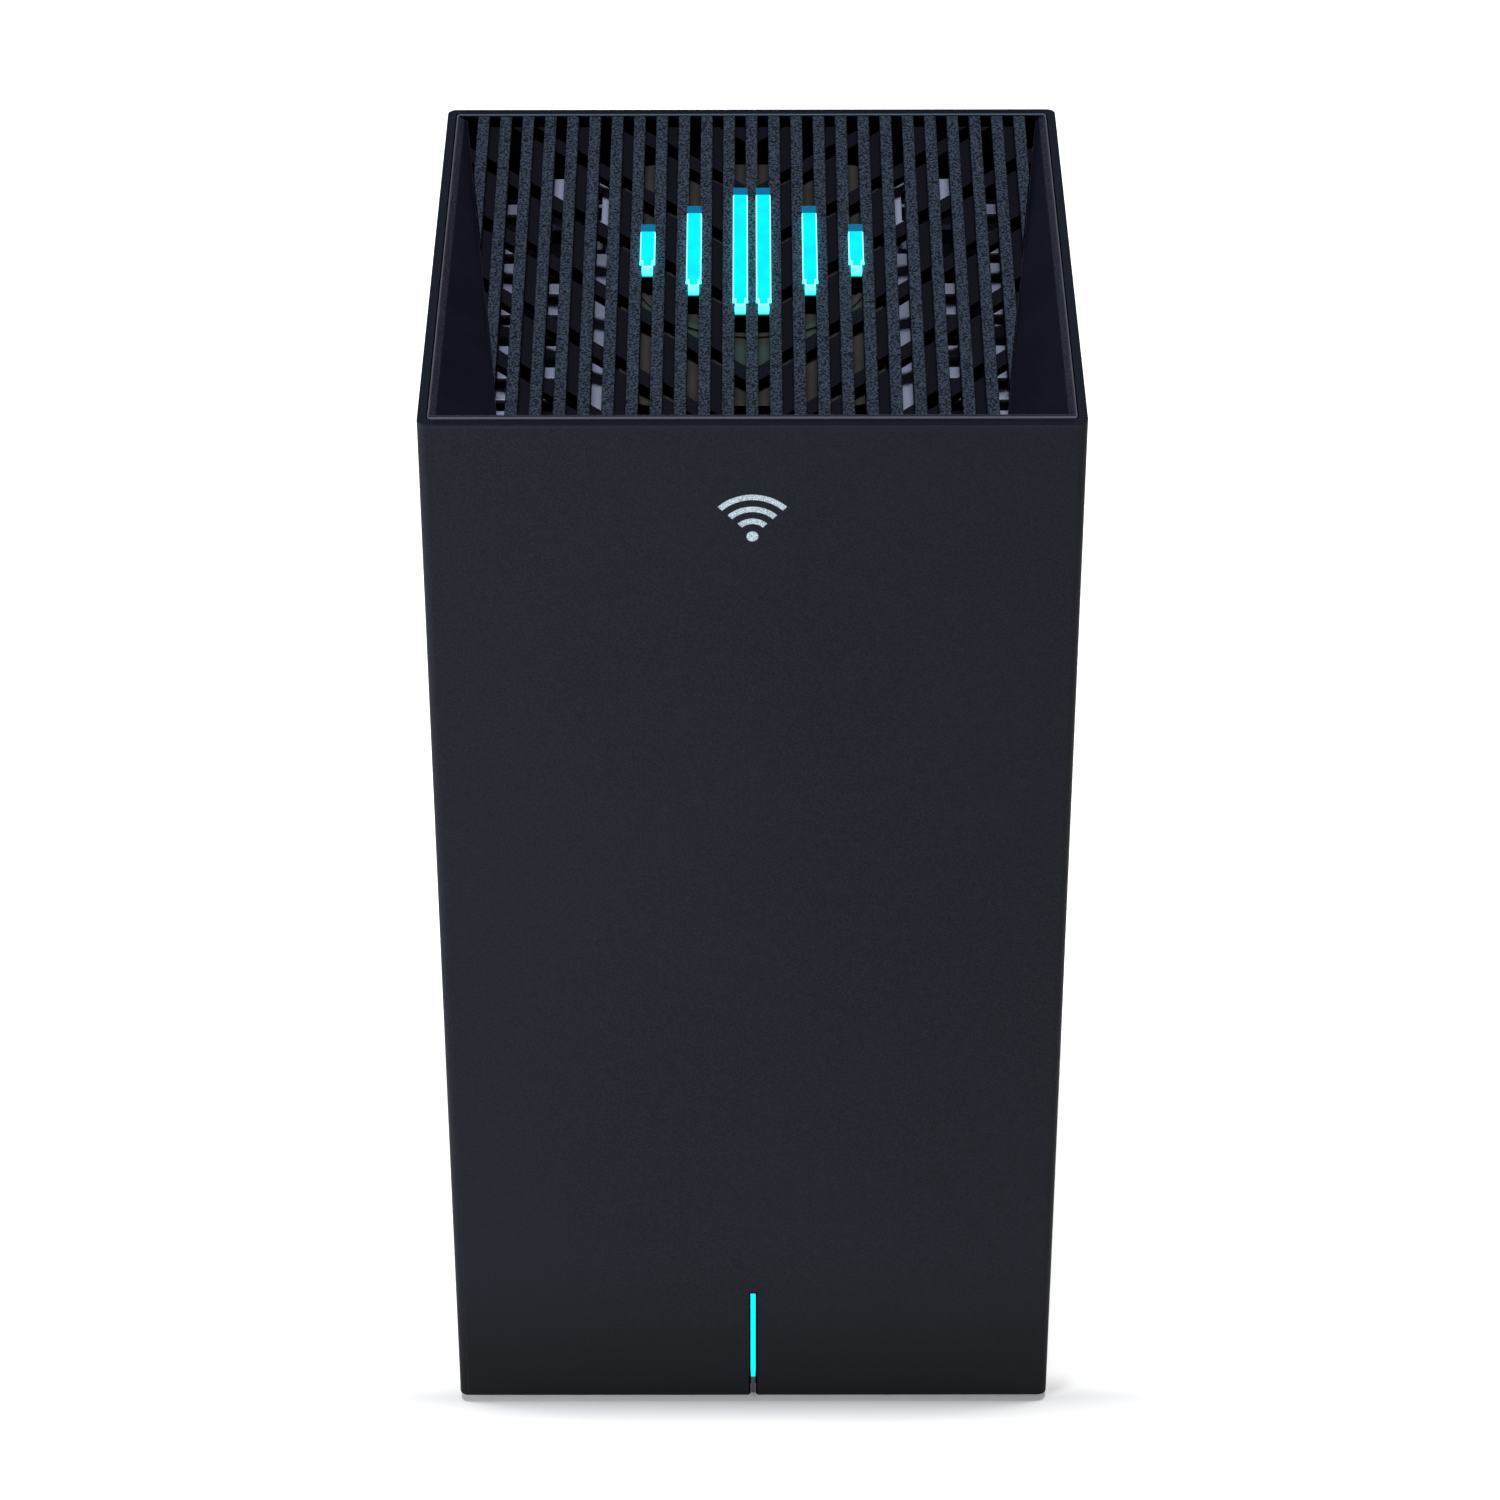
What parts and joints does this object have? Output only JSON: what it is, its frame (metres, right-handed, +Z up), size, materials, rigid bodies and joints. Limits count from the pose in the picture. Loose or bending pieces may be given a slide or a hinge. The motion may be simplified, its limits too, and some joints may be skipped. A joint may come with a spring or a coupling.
{
  "type": "mesh wifi node",
  "caption": "Square tower mesh wifi node with a slatted, forward-sloping top grille, lit bars in it, a front status light and a recessed rear port panel.",
  "frame": {"origin": "centre of the footprint, at the underside of the rubber feet", "axes": "+Z up, -Y towards the front face with the status light, +X to the right seen from the front"},
  "size_m": [0.104, 0.104, 0.2025],
  "materials": {
    "shell_plastic": "fine spark-eroded satin, dark navy grey",
    "bezel_plastic": "smooth satin, darker than the sleeve",
    "grille_plastic": "spark-eroded grain, satin",
    "light_clear": "translucent, lit cyan",
    "light_box_plastic": "matte warm grey",
    "diffuser_plastic": "milky sheet",
    "circuit_board": "solder mask over glass laminate",
    "led_package": "small moulded package",
    "ribbon_film": "flexible flat cable",
    "socket_plastic": "moulded socket",
    "emblem_metal": "satin silver inlay",
    "chassis_plastic": "moulded frame",
    "chip_plastic": "moulded chip package",
    "shield_steel": "tinned sheet",
    "capacitor_can": "bare can",
    "thermal_pad": "soft silicone pad",
    "sink_aluminium": "bare bead-blasted aluminium",
    "screw_steel": "zinc-plated",
    "cable_jacket": "thin coaxial jacket",
    "contact_gold": "gold-plated",
    "panel_plastic": "fine grain, near black",
    "port_plastic": "black socket housing",
    "usb_blue": "coloured socket tongue",
    "button_plastic": "satin cap",
    "reset_red": "switch plunger",
    "base_plastic": "fine grain",
    "foot_rubber": "soft rubber",
    "label_film": "blank silver label"
  },
  "bodies": {
    "housing": {"outer_sleeve": "shell_plastic", "top_bezel": "bezel_plastic", "top_grille": "grille_plastic", "light_bars": "light_clear", "light_box": "light_box_plastic", "light_diffuser": "diffuser_plastic", "led_board": "circuit_board", "bar_leds": "led_package", "led_ribbon": "ribbon_film", "ribbon_sockets": "socket_plastic", "front_emblem": "emblem_metal", "status_light_guide": "light_clear", "status_led_board": "circuit_board", "status_led": "led_package", "inner_chassis": "chassis_plastic", "main_board": "circuit_board", "processor": "chip_plastic", "memory_chips": "chip_plastic", "radio_shields": "shield_steel", "power_inductors": "chip_plastic", "capacitors": "capacitor_can", "thermal_pads": "thermal_pad", "heat_sink_left": "sink_aluminium", "heat_sink_right": "sink_aluminium", "heat_sink_screws": "screw_steel", "clamp_brackets": "sink_aluminium", "antenna_boards": "circuit_board", "antenna_carriers": "chassis_plastic", "antenna_cables": "cable_jacket", "coax_plugs": "contact_gold", "io_panel": "panel_plastic", "wan_jack": "port_plastic", "lan_jack_1": "port_plastic", "lan_jack_2": "port_plastic", "jack_contacts": "contact_gold", "usb_shell": "shield_steel", "usb_tongue": "usb_blue", "dc_jack": "port_plastic", "dc_pin": "screw_steel", "power_switch": "port_plastic", "pairing_switch": "port_plastic", "reset_switch": "port_plastic", "base_plate": "base_plastic", "rubber_feet": "foot_rubber", "blank_label": "label_film", "base_screws": "screw_steel", "board_screws": "screw_steel", "chassis_screws": "screw_steel"},
    "power_button": {"power_button": "button_plastic"},
    "pairing_button": {"pairing_button": "button_plastic"},
    "reset_button": {"reset_button": "reset_red"}
  },
  "joints": [
    {"name": "power_press", "type": "slide", "parent": "housing", "child": "power_button", "axis": [0, -1, 0], "range_m": [0, 0.0018], "stiffness_N_per_m": 1500},
    {"name": "pairing_press", "type": "slide", "parent": "housing", "child": "pairing_button", "axis": [0, -1, 0], "range_m": [0, 0.0007], "stiffness_N_per_m": 3000},
    {"name": "reset_press", "type": "slide", "parent": "housing", "child": "reset_button", "axis": [0, -1, 0], "range_m": [0, 0.0004], "stiffness_N_per_m": 4000}
  ]
}
